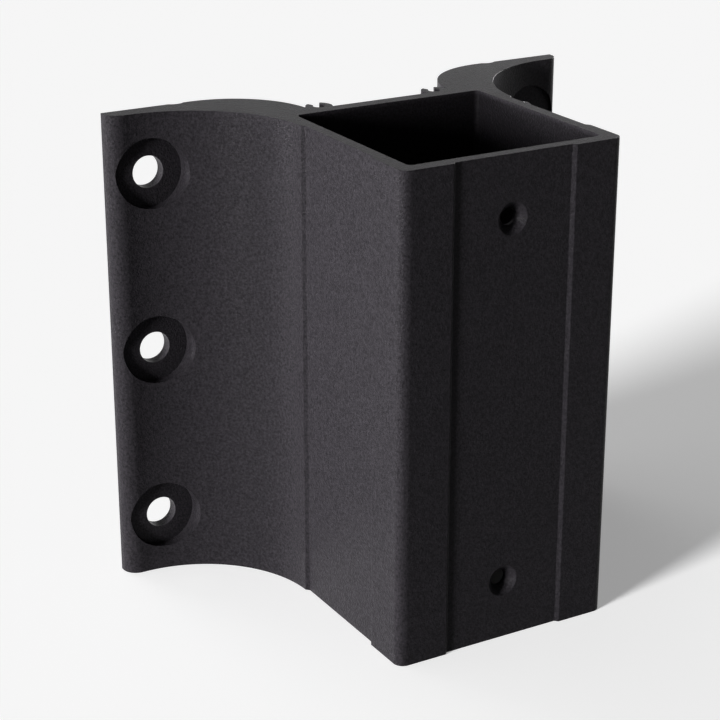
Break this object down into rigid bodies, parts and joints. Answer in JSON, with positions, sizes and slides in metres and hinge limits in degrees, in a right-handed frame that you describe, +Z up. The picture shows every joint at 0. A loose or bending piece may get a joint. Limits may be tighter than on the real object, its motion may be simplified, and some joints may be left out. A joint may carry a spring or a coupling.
{
  "type": "fascia mount post bracket",
  "caption": "Square post socket with coved side wings and counterbored bolt holes, fixed to a deck fascia to hold a railing post clear of it.",
  "frame": {"origin": "middle of the fascia bolt pattern, on the plane of the mounting pads", "axes": "+Y into the fascia, +Z up along the extrusion, +X to the right as seen from the post's side"},
  "size_m": [0.164, 0.1013, 0.1524],
  "materials": {
    "powder_coat": "fine-textured black powder coat over aluminium"
  },
  "bodies": {
    "root": {"bracket": "powder_coat"}
  },
  "joints": []
}
